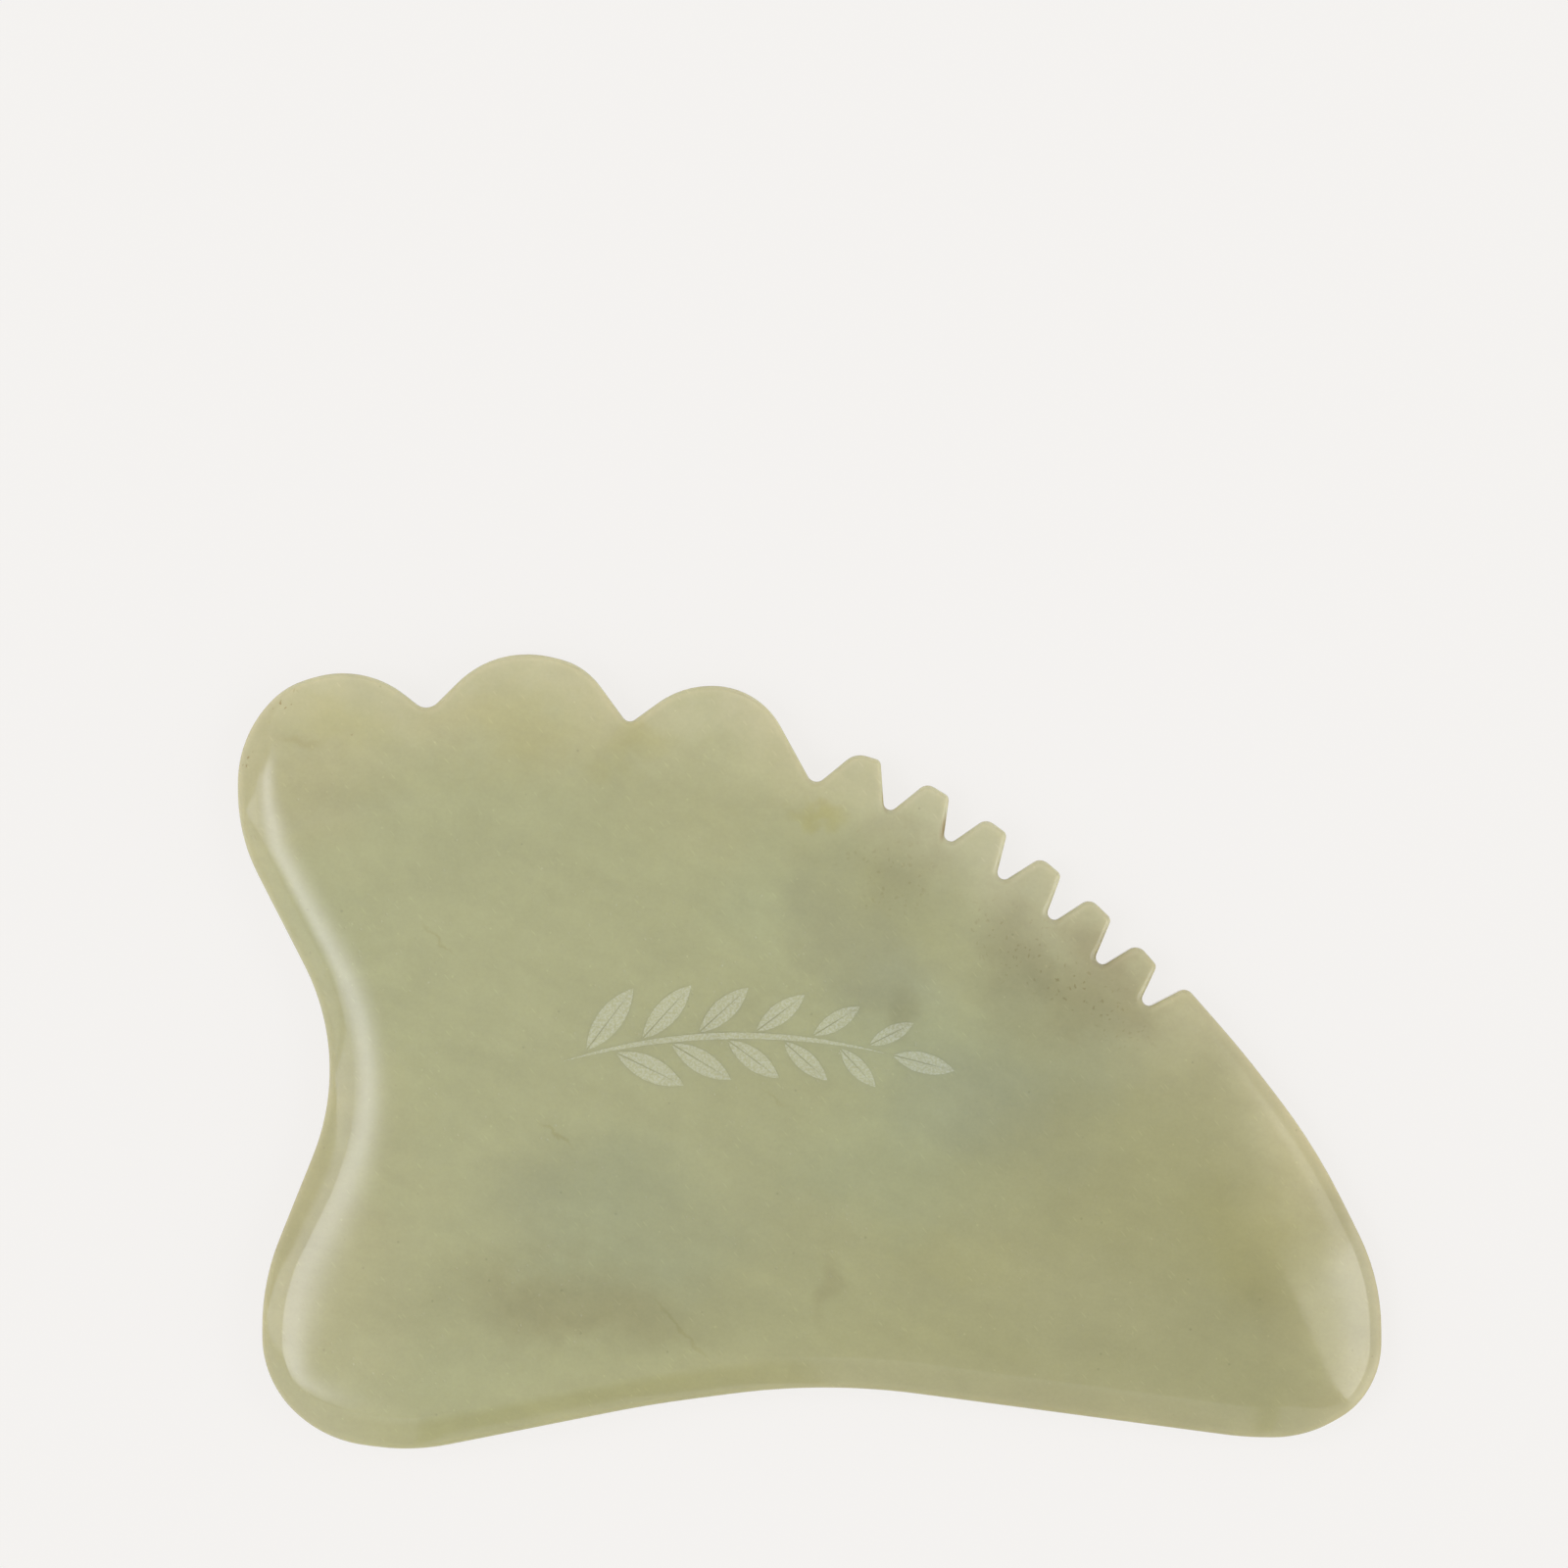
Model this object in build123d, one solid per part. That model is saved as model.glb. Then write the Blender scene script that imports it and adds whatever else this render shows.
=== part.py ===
from build123d import *
import math
import os

# Gua sha scraper: one flat stone plate. Three finger lobes run along its upper left edge and
# a comb of blunt teeth along its upper right edge, the left side is a hollow waist, and the
# long lower edge is slightly hollow. A thin sprig is printed on the front face.
#
# Frame: the plate lies on its back on z = 0, with the printed face up. X runs along the
# plate's length, Y across it towards the lobes, and the origin is under its middle.

os.makedirs("parts", exist_ok=True)

# ---- driving dimensions (mm) ----

THICKNESS = 6.0
RIM_RADIUS = 2.0          # rounding of the waist and of the lower edge
EDGE_RADIUS = 0.5         # rounding of the lobes and of the comb
RIM_CLEARANCE = 0.05      # how far the rim's rounding tool stands outside the walls

# The plate thins towards the lobes and the comb, along a shallow cone on each face.
COMB_CENTRE = (-25.0, -43.9)
RELIEF_START = 66.5       # distance from the comb's centre where the thinning starts
RELIEF_REACH = 82.0       # a distance beyond every edge
RELIEF_DEPTH = 2.7        # how deep the cone has gone there, on each face
RELIEF_BLEND = 20.0       # rounding where the cone leaves the flat face

# The comb's notches lie side by side along an arc about the comb's centre.
TIP_RADIUS = 75.3         # distance of the first tooth's corners from the comb's centre
TIP_FALL = 0.024          # by how much that distance falls with each degree along the comb
ROOT_DATUM = 75.0         # the distance that the notch depths are counted from
ROOT_ROUNDING = 0.6
TOOTH_FAR_ROUNDING = 0.6  # a tooth's corner before a notch
TOOTH_NEAR_ROUNDING = 1.0 # a tooth's corner after a notch

# One row per notch, from the lobes on: place along the arc, depth, opening angle, and how far
# the notch leans from straight out, with angles in degrees.
NOTCHES = [
    (63.85, 3.2, 55, 2.5),
    (59.30, 3.1, 47, -1.0),
    (54.90, 3.35, 43, -1.0),
    (50.55, 3.5, 36, 0.5),
    (46.10, 3.6, 35, 3.0),
    (41.90, 3.3, 38, 3.0),
]

# The rest of the outline, clockwise: the corners of each stretch as (x, y, rounding).
WAIST = [(-38.9, -0.6, 19.5), (-48.6, 18.4, 16.0)]
FIRST_LOBE = [(-48.6, 26.7, 10.0), (-44.6, 31.0, 7.0), (-37.9, 33.05, 8.5)]
FIRST_VALLEY = [(-32.45, 28.75, 1.35)]
MIDDLE_LOBE = [(-27.7, 33.5, 8.2), (-23.2, 33.8, 9.0), (-19.1, 32.8, 6.0)]
MIDDLE_VALLEY = [(-15.4, 27.75, 0.7)]
LAST_LOBE = [(-10.85, 31.05, 7.7), (-4.35, 31.05, 6.6)]
LAST_VALLEY = [(0.35, 22.45, 0.85)]
FIRST_TOOTH = [(3.9, 25.35, 1.8)]
SHOULDER = [(32.0, 5.45, 0.9)]
RIGHT_SIDE = [(36.8, 0.0, 100.0), (43.0, -8.1, 52.0), (48.6, -19.4, 18.0)]
RIGHT_CORNER = [(48.6, -26.8, 7.5), (46.6, -30.2, 7.0), (42.05, -32.8, 10.0)]
LOWER_EDGE = [(37.1, -32.8, 30.0), (1.35, -28.05, 60.0), (-13.5, -30.0, 100.0)]
LEFT_CORNER = [(-33.7, -34.0, 19.0), (-41.1, -33.0, 10.5), (-46.5, -28.1, 9.0), (-46.5, -19.6, 20.0)]

# The rim's rounding tool follows the waist and the lower edge, and passes outside the rest.
TOOL_TOP = 45.0
TOOL_HALF_LENGTH = 48.6
TOOL_CORNER = 1.0

# ---- the printed sprig (mm) ----

PRINT_THICKNESS = 0.05
STEM_START = (-21.2, -0.9)
STEM_MIDDLE = (-7.4, 1.35)
STEM_END = (6.7, -0.2)
STEM_WIDTH = 0.55
LEAF_COUNT = 11           # leaves along the stem, alternately above and below it
FIRST_LEAF_AT = 0.07      # place of the first and last leaf along the stem, as a fraction
LAST_LEAF_AT = 0.92
LEAF_ANGLE = 38.0
FIRST_LEAF_LENGTH = 6.6
LAST_LEAF_LENGTH = 4.2
END_LEAF_LENGTH = 5.4
LEAF_BELLY = 0.16         # half a leaf's width, as a fraction of its length
LEAF_GAP = 0.35           # bare stone between the stem and a leaf


def polar(radius, degrees):
    """The vector of this length at this angle from +X."""
    return Vector(radius * math.cos(math.radians(degrees)), radius * math.sin(math.radians(degrees)))


def corner_on_tip_arc(apex, degrees, tip_radius):
    """Where a notch's straight wall from its apex meets the arc of the tooth tips."""
    wall = polar(1, degrees)
    start = apex - Vector(*COMB_CENTRE)
    along = start.dot(wall)
    reach = math.sqrt(along ** 2 - start.dot(start) + tip_radius ** 2) - along
    return apex + wall * reach


def notch(place, depth, opening, lean):
    """A notch's three corners: a tooth's far corner, the root, and the next tooth's near one."""
    root = Vector(*COMB_CENTRE) + polar(ROOT_DATUM - depth, place)
    sink = ROOT_ROUNDING * (1 / math.sin(math.radians(opening / 2)) - 1)
    apex = root - polar(sink, place + lean)
    tip_radius = TIP_RADIUS - TIP_FALL * (NOTCHES[0][0] - place)
    far = corner_on_tip_arc(apex, place + lean + opening / 2, tip_radius)
    near = corner_on_tip_arc(apex, place + lean - opening / 2, tip_radius)
    return [
        (far.X, far.Y, TOOTH_FAR_ROUNDING),
        (apex.X, apex.Y, ROOT_ROUNDING),
        (near.X, near.Y, TOOTH_NEAR_ROUNDING),
    ]


def rounded_face(corners):
    """The flat face inside a polygon whose corners are rounded."""
    points = [(x, y) for x, y, rounding in corners]
    roundings = [rounding for x, y, rounding in corners]
    return make_face(FilletPolyline(*points, radius=roundings, close=True))


def outline():
    """The plate's outline, seen from its printed face."""
    comb = [corner for row in NOTCHES for corner in notch(*row)]
    comb = comb[:-1] + SHOULDER
    lobes = FIRST_LOBE + FIRST_VALLEY + MIDDLE_LOBE + MIDDLE_VALLEY + LAST_LOBE + LAST_VALLEY
    lower = RIGHT_CORNER + LOWER_EDGE + LEFT_CORNER
    return rounded_face(WAIST + lobes + FIRST_TOOTH + comb + RIGHT_SIDE + lower)


def relief():
    """The ring cut from the front face, whose floor is the shallow cone."""
    section = Plane.XZ * Polyline(
        (RELIEF_START, THICKNESS),
        (RELIEF_REACH, THICKNESS - RELIEF_DEPTH),
        (RELIEF_REACH, THICKNESS + 1),
        (RELIEF_START, THICKNESS + 1),
        close=True,
    )
    return Pos(*COMB_CENTRE, 0) * revolve(make_face(section), Axis.Z)


def thinned_plate():
    """The full outline, thinned towards the lobes and comb, with its edges just broken."""
    ring = relief()
    back_ring = ring.mirror(Plane.XY.offset(THICKNESS / 2))
    plate = extrude(outline(), THICKNESS, dir=(0, 0, 1)) - ring - back_ring
    creases = [
        edge for edge in plate.edges().filter_by(GeomType.CIRCLE)
        if abs(edge.radius - RELIEF_START) < 0.01
    ]
    plate = fillet(creases, RELIEF_BLEND)
    walls = plate.faces().filter_by(lambda face: abs(face.normal_at().Z) < 0.02)
    both_faces = ShapeList(face for face in plate.faces() if face not in walls)
    rim = [edge for edge in both_faces.edges() if edge in walls.edges()]
    return fillet(rim, EDGE_RADIUS)


def rim_tool():
    """A block with the plate's waist and lower edge, whose edges have the large rounding."""
    top = [(-TOOL_HALF_LENGTH, TOOL_TOP, TOOL_CORNER), (TOOL_HALF_LENGTH, TOOL_TOP, TOOL_CORNER)]
    face = rounded_face(WAIST + top + RIGHT_CORNER + LOWER_EDGE + LEFT_CORNER)
    block = extrude(offset(face, RIM_CLEARANCE), THICKNESS, dir=(0, 0, 1))
    return fillet(block.faces().filter_by(Axis.Z).edges(), RIM_RADIUS)


def jade_plate():
    """The stone plate: what the thinned plate and the rounded block have in common."""
    return thinned_plate() & rim_tool()


def leaf(length):
    """One pointed leaf along +X, with its base at the origin."""
    belly = LEAF_BELLY * length
    upper = ThreePointArc((0, 0), (0.45 * length, belly), (length, 0))
    lower = ThreePointArc((length, 0), (0.45 * length, -belly), (0, 0))
    return make_face(upper + lower)


def printed_motif():
    """The sprig on the front face: a stem, the leaves along it and one at its end."""
    stem_line = ThreePointArc(STEM_START, STEM_MIDDLE, STEM_END)
    upper_side = ThreePointArc(STEM_START, Vector(*STEM_MIDDLE) + (0, STEM_WIDTH / 2), STEM_END)
    lower_side = ThreePointArc(STEM_END, Vector(*STEM_MIDDLE) - (0, STEM_WIDTH / 2), STEM_START)
    shapes = [make_face(upper_side + lower_side)]
    for i in range(LEAF_COUNT):
        share = i / (LEAF_COUNT - 1)
        at = FIRST_LEAF_AT + (LAST_LEAF_AT - FIRST_LEAF_AT) * share
        length = FIRST_LEAF_LENGTH + (LAST_LEAF_LENGTH - FIRST_LEAF_LENGTH) * share
        side = 1 if i % 2 == 0 else -1
        along = stem_line % at
        turn = math.degrees(math.atan2(along.Y, along.X)) + side * LEAF_ANGLE
        base = stem_line @ at + polar(LEAF_GAP + STEM_WIDTH / 2, turn)
        shapes.append(Pos(base.X, base.Y) * Rot(0, 0, turn) * leaf(length))
    along = stem_line % 1
    turn = math.degrees(math.atan2(along.Y, along.X))
    base = stem_line @ 1 + polar(LEAF_GAP, turn)
    shapes.append(Pos(base.X, base.Y) * Rot(0, 0, turn) * leaf(END_LEAF_LENGTH))
    film = [extrude(Pos(0, 0, THICKNESS) * shape, PRINT_THICKNESS, dir=(0, 0, 1)) for shape in shapes]
    return Compound([solid for piece in film for solid in piece.solids()])


export_step(jade_plate(), "parts/jade_plate.step")
export_step(printed_motif(), "parts/printed_motif.step")
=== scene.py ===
"""Looks of the gua sha scraper: a polished jade plate with a frosted sprig printed on it."""
import math

import bmesh
import bpy
import numpy as np
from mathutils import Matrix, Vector, noise
from mathutils.geometry import delaunay_2d_cdt
from mathutils.kdtree import KDTree


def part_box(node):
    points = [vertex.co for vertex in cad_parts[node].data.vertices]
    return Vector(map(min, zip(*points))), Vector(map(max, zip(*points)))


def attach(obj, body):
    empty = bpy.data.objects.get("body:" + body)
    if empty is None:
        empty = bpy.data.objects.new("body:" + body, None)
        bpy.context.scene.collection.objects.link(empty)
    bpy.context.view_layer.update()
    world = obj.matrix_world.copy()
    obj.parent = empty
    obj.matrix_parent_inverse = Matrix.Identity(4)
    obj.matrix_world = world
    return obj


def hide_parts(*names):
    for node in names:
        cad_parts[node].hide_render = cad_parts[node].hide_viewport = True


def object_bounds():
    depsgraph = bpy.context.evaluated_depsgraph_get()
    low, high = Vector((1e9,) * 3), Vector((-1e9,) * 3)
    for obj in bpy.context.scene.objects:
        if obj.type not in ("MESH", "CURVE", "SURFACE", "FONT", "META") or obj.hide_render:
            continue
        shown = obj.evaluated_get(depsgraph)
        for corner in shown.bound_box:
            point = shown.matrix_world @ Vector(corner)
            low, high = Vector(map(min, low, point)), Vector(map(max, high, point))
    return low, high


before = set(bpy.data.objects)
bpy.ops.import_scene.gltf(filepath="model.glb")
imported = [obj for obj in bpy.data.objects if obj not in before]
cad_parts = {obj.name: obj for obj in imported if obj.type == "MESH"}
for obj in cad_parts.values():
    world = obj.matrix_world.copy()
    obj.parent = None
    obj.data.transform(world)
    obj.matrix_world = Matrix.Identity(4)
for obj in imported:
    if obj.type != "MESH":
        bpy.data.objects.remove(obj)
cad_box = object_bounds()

MM = 0.001

# ---- sizes of the stone, in mm ----

BACK_Z = cad_box[0].z / MM
FRONT_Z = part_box("jade_plate")[1].z / MM
MIDDLE_Z = (BACK_Z + FRONT_Z) / 2

# Both faces thin towards the lobes, the comb and the right side, round the comb's centre.
COMB_CENTRE = np.array([-25.0, -43.9])
THINNING_START = 65.0     # distance from the comb's centre where the faces start to fall
THINNING_RATE = 0.0454
THINNING_POWER = 1.5

# The rim: a rounded band along the wall, a soft crease, and a roll into the flat face. Each
# kind of rim has its band's width and fall, and its roll's slope.
THIN_EDGE_FROM = 66.5     # distances from the comb's centre where the thick rim turns
THIN_EDGE_BY = 73.0       # into the thin edge
LEFT_LAG = 6.0            # by how much later that happens beside the first lobe
LEFT_LAG_FROM = -46.0
LEFT_LAG_BY = -40.0
BOTTOM_FROM = 0.5         # how steeply the way inwards leads up where the left side ends and
BOTTOM_BY = 1.02          # the lower edge begins
RIGHT_SIDE_FROM = 31.0    # x where the comb ends and the right side begins
RIGHT_SIDE_BY = 36.0
BAND = {"left": (1.25, 1.2), "bottom": (2.7, 1.3), "comb": (0.28, 0.42), "right": (1.0, 0.5)}
ROLL_SLOPE = {"left": 0.38, "bottom": 0.15, "comb": 0.0, "right": 0.11}   # at the crease
ROLL_WIDTH = 4.2
ROLL_POWER = 3.0
THINNEST_HALF = 0.35      # what the rim leaves of the stone at the wall, at least
# The left side's rim changes along it: y, band width, roll width and roll slope.
LEFT_SIDE = np.array([
    (-30.0, 1.6, 3.0, 0.26),
    (-22.0, 1.8, 5.4, 0.24),
    (-18.0, 2.1, 5.6, 0.24),
    (-11.0, 2.7, 4.7, 0.28),
    (-7.0, 2.5, 4.2, 0.32),
    (0.0, 1.9, 3.9, 0.38),
    (8.0, 1.6, 3.7, 0.38),
    (20.0, 1.6, 2.9, 0.38),
    (26.0, 1.9, 1.9, 0.36),
])
BAND_ARC = 0.6            # share of a quarter ellipse that the band's section goes through
CREASE_HALF_WIDTH = 0.12
FACE_DROP = 0.02          # room for the waves under the CAD plate's face

# Hand polishing leaves the faces very slightly wavy.
WAVES = ((11.0, 0.016), (4.0, 0.004))     # size, height
WAVES_FULL_AT = 1.5       # depth inside the wall

# ---- mesh fineness, in mm ----

SAME_POINT = 0.0001       # points of the CAD mesh this close are one
IN_LINE = 0.0002          # a point this near the line between its neighbours is left out
DENSE_STEP = 0.05
FINEST_STEP = 0.1
WIDEST_STEP = 0.42
TURN_PER_STEP = math.radians(5)
BEND_REACH = 2            # dense steps each way that a bend is measured over
STEP_REACH = 8            # dense steps each way that a step is evened out over
BAND_TURNS = (0, 0.06, 0.14, 0.24, 0.35, 0.47, 0.6, 0.74, 0.88)
ROLL_RINGS = (0.3, 0.55, 0.85, 1.2, 1.65, 2.2, 2.9, 3.8, 4.9)
RING_SLACK = 0.02         # how much nearer to a wall than its depth a ring's point may be
CROWDED = 0.4             # share of the finest step: a ring's points are never closer
INNER_STEP = 1.0
GAP_STEP = 0.4
GAP_CLEARANCE = 0.8       # share of that step
WALL_ROWS = 4
PROBE = 0.05              # between the two heights that give a wave's slope
INSIDE_LOOP = 1           # what delaunay_2d_cdt takes to keep the triangles inside the loop
LOOP_TOLERANCE = 0.00001


def smoothstep(low, high, value):
    t = np.clip((np.asarray(value, float) - low) / (high - low), 0, 1)
    return t * t * (3 - 2 * t)


# ---- the outline, read from the CAD plate ----

def anticlockwise(loop):
    x, y = loop.T
    area = np.sum(x * np.roll(y, -1) - y * np.roll(x, -1))
    return loop if area > 0 else loop[::-1]


def section_loops(node):
    """The loops where a level plane cuts a CAD node halfway up, in mm, from left to right."""
    low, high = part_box(node)
    cut = bmesh.new()
    cut.from_mesh(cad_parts[node].data)
    bmesh.ops.remove_doubles(cut, verts=cut.verts, dist=SAME_POINT * MM)
    everything = cut.verts[:] + cut.edges[:] + cut.faces[:]
    made = bmesh.ops.bisect_plane(cut, geom=everything, plane_co=(low + high) / 2, plane_no=(0, 0, 1))
    edges = {item for item in made["geom_cut"] if isinstance(item, bmesh.types.BMEdge)}
    loops = []
    while edges:
        start = min((v for edge in edges for v in edge.verts), key=lambda v: (v.co.x, v.co.y))
        loop, vertex = [], start
        while vertex is not start or not loop:
            loop.append((vertex.co.x / MM, vertex.co.y / MM))
            edge = next(e for e in vertex.link_edges if e in edges)
            edges.remove(edge)
            vertex = edge.other_vert(vertex)
        loops.append(anticlockwise(np.array(loop)))
    cut.free()
    return loops


def drop_points_in_line(points):
    """Leaves out the points that lie on the straight line between their neighbours."""
    before, after = np.roll(points, 1, 0), np.roll(points, -1, 0)
    chord = after - before
    length = np.hypot(*chord.T)
    offset = points - before
    away = np.abs(chord[:, 0] * offset[:, 1] - chord[:, 1] * offset[:, 0]) / length
    return points[away > IN_LINE]


def rounded_path(corners):
    """A smooth closed curve through the points, as dense samples."""
    after = np.roll(corners, -1, 0)
    tangent = after - np.roll(corners, 1, 0)
    tangent /= np.hypot(*tangent.T)[:, None]
    samples = []
    for a, b, leave, reach in zip(corners, after, tangent, np.roll(tangent, -1, 0)):
        length = np.hypot(*(b - a))
        t = np.arange(0, 1, DENSE_STEP / length)[:, None]
        samples.append(
            a * (2 * t ** 3 - 3 * t ** 2 + 1) + b * (3 * t ** 2 - 2 * t ** 3)
            + leave * length * (t ** 3 - 2 * t ** 2 + t) + reach * length * (t ** 3 - t ** 2)
        )
    return np.vstack(samples)


def headings(path):
    """The direction of travel at each point of a closed path."""
    step = np.roll(path, -1, 0) - np.roll(path, 1, 0)
    return np.arctan2(step[:, 1], step[:, 0])


def blurred(values, reach):
    """A closed row of values, each one averaged with its neighbours this far each way."""
    window = np.ones(2 * reach + 1) / (2 * reach + 1)
    around = np.concatenate([values[-reach:], values, values[:reach]])
    return np.convolve(around, window, mode="valid")


def stepped_path(path):
    """The path's points again, close together where it bends and further apart elsewhere."""
    turning = np.diff(np.unwrap(np.append(headings(path), headings(path)[0])))
    length = np.hypot(*(np.roll(path, -1, 0) - path).T)
    bend = np.abs(blurred(turning, BEND_REACH)) / blurred(length, BEND_REACH)
    step = np.clip(TURN_PER_STEP / np.maximum(bend, 1e-6), FINEST_STEP, WIDEST_STEP)
    step = blurred(step, STEP_REACH)
    progress = np.concatenate([[0], np.cumsum(length / step)])
    count = int(round(progress[-1]))
    wanted = np.arange(count) * progress[-1] / count
    closed = np.vstack([path, path[:1]])
    return np.column_stack([np.interp(wanted, progress, closed[:, k]) for k in (0, 1)])


def kd_tree(points):
    tree = KDTree(len(points))
    for index, (x, y) in enumerate(points):
        tree.insert((x, y, 0), index)
    tree.balance()
    return tree


# ---- the section of the stone ----

def thinning(reach):
    """How far a face has fallen at this distance from the comb's centre, and its slope."""
    past = np.maximum(reach - THINNING_START, 0)
    fall = THINNING_RATE * past ** THINNING_POWER
    return fall, THINNING_RATE * THINNING_POWER * past ** (THINNING_POWER - 1)


def edge_shares(outline, inward):
    """How much of each kind of rim there is round the outline."""
    lag = LEFT_LAG * (1 - smoothstep(LEFT_LAG_FROM, LEFT_LAG_BY, outline[:, 0]))
    reach = np.hypot(*(outline - COMB_CENTRE).T)
    thin = smoothstep(THIN_EDGE_FROM, THIN_EDGE_BY, reach - lag)
    right = smoothstep(RIGHT_SIDE_FROM, RIGHT_SIDE_BY, outline[:, 0])
    bottom = smoothstep(BOTTOM_FROM, BOTTOM_BY, inward[:, 1])
    return {
        "left": (1 - thin) * (1 - bottom),
        "bottom": (1 - thin) * bottom,
        "comb": thin * (1 - right),
        "right": thin * right,
    }


def band_and_roll(depth, width, fall, roll_slope, roll_width):
    """How far the rim falls at this depth inside the wall, and its slope."""
    t = np.clip(1 - (depth - width) / roll_width, 0, 1)
    in_band = depth < width
    past_crease = np.where(in_band, width - depth, 0)
    down = roll_slope * (roll_width / ROLL_POWER * t ** ROLL_POWER + past_crease)
    slope = -roll_slope * t ** (ROLL_POWER - 1)
    inside = np.clip(1 - BAND_ARC * depth / width, 1 - BAND_ARC, 1)
    full = math.sqrt(1 - (1 - BAND_ARC) ** 2)
    arc = np.sqrt(np.maximum(1 - inside ** 2, 1e-6))
    down = down + np.where(in_band, fall * (1 - arc / full), 0)
    slope = slope - np.where(in_band, fall * BAND_ARC / width * inside / arc / full, 0)
    return down, slope


def waves(x, y):
    return sum(
        height * noise.noise(Vector((x / size, y / size, 7.5 * order)))
        for order, (size, height) in enumerate(WAVES)
    )


def rim_shape(outline, inward):
    """The band's width and fall and the roll's slope and width, round the outline."""
    shares = edge_shares(outline, inward)
    width, fall = (sum(shares[k] * BAND[k][i] for k in shares) for i in (0, 1))
    slope = sum(shares[k] * ROLL_SLOPE[k] for k in shares)
    roll_width = np.full(len(outline), ROLL_WIDTH)
    local = [np.interp(outline[:, 1], LEFT_SIDE[:, 0], column) for column in LEFT_SIDE.T[1:]]
    width += (local[0] - BAND["left"][0]) * shares["left"]
    roll_width += (local[1] - ROLL_WIDTH) * shares["left"]
    slope += (local[2] - ROLL_SLOPE["left"]) * shares["left"]
    thin, _ = thinning(np.hypot(*(outline - COMB_CENTRE).T))
    rolled = slope * (roll_width / ROLL_POWER + width)
    room = FRONT_Z - FACE_DROP - thin - rolled - MIDDLE_Z - THINNEST_HALF
    return width, np.minimum(fall, room), slope, roll_width


def face_of(points, depth, inward, shape):
    """The front face's height and its normals."""
    out = points - COMB_CENTRE
    reach = np.hypot(*out.T)
    thin, thin_slope = thinning(reach)
    rim, rim_slope = band_and_roll(depth, *shape)
    calm = smoothstep(0, WAVES_FULL_AT, depth)
    level = np.array([waves(x, y) for x, y in points])
    east = np.array([waves(x + PROBE, y) for x, y in points])
    north = np.array([waves(x, y + PROBE) for x, y in points])
    height = FRONT_Z - FACE_DROP - thin - rim + calm * level
    gradient = -rim_slope[:, None] * inward - thin_slope[:, None] * out / reach[:, None]
    gradient += calm[:, None] * np.column_stack([east - level, north - level]) / PROBE
    normals = np.column_stack([-gradient, np.ones(len(points))])
    return height, normals / np.linalg.norm(normals, axis=1)[:, None]


# ---- the plate's mesh ----

def in_middle(depth, width):
    """Whether a point this deep lies past all the rings."""
    return depth > width + ROLL_RINGS[-1] + INNER_STEP / 2


def ring_points(outline, inward, shape, tree):
    """Rings of points that follow the outline inwards, each with its depth and direction."""
    width = shape[0]
    turns = np.array(BAND_TURNS) * math.pi / 2
    depths = [width * (1 - math.cos(turn)) for turn in turns]
    depths += [width - CREASE_HALF_WIDTH, width + CREASE_HALF_WIDTH]
    depths += [width + ring for ring in ROLL_RINGS]
    rows = []
    for number, depth in enumerate(depths):
        points = outline + inward * depth[:, None]
        last = None
        for index, point in enumerate(points):
            if number:
                found = tree.find((*point, 0))[2]
                crowded = last is not None and np.hypot(*(point - last)) < FINEST_STEP * CROWDED
                if found < depth[index] - RING_SLACK or crowded:
                    continue
            last = point
            rows.append((*point, depth[index], *inward[index], index))
    return np.array(rows)


def inner_points(outline, inward, shape, tree, edge_tree):
    """An even triangular grid over the middle of the face."""
    low, high = outline.min(0), outline.max(0)
    rows = []
    row_step = INNER_STEP * math.sqrt(3) / 2
    for j, y in enumerate(np.arange(low[1], high[1], row_step)):
        for x in np.arange(low[0] + (j % 2) * INNER_STEP / 2, high[0], INNER_STEP):
            index = edge_tree.find((x, y, 0))[1]
            offset = np.array([x, y]) - outline[index]
            depth = tree.find((x, y, 0))[2]
            within = offset @ inward[index] > 0
            if within and in_middle(depth, shape[0][index]):
                rows.append((x, y, depth, *(offset / np.hypot(*offset)), index))
    return np.array(rows)


def gap_points(outline, inward, shape, tree, edge_tree, taken):
    """Grid points that fill what the rings leave open, as between two close teeth."""
    low, high = outline.min(0), outline.max(0)
    taken_tree = kd_tree(taken)
    rows = []
    for y in np.arange(low[1], high[1], GAP_STEP):
        for x in np.arange(low[0], high[0], GAP_STEP):
            if taken_tree.find((x, y, 0))[2] < GAP_STEP * GAP_CLEARANCE:
                continue
            depth = tree.find((x, y, 0))[2]
            index = edge_tree.find((x, y, 0))[1]
            offset = np.array([x, y]) - outline[index]
            if offset @ inward[index] > 0 and not in_middle(depth, shape[0][index]):
                rows.append((x, y, depth, *(offset / np.hypot(*offset)), index))
    return np.array(rows).reshape(-1, 6)


def triangles_of(points, rim_count):
    """Triangles over the points, inside the loop of the first rim_count of them."""
    loop = [(i, (i + 1) % rim_count) for i in range(rim_count)]
    flat = [Vector(point) for point in points]
    made = delaunay_2d_cdt(flat, loop, [], INSIDE_LOOP, LOOP_TOLERANCE)
    faces, origins = made[2:4]
    source = [origin[0] for origin in origins]
    return [tuple(source[v] for v in face) for face in faces]


def make_object(name, vertices, faces, material, normals=None):
    mesh = bpy.data.meshes.new(name)
    mesh.from_pydata([Vector(v) * MM for v in vertices], [], faces)
    mesh.shade_smooth()
    if normals is not None:
        mesh.normals_split_custom_set_from_vertices([Vector(n) for n in normals])
    mesh.materials.append(material)
    piece = bpy.data.objects.new(name, mesh)
    bpy.context.scene.collection.objects.link(piece)
    return piece


def set_depth(piece, values):
    """Tells the material how far each vertex is from the wall, in mm."""
    attribute = piece.data.attributes.new("depth", "FLOAT", "POINT")
    attribute.data.foreach_set("value", np.array(values, np.float32))


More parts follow.
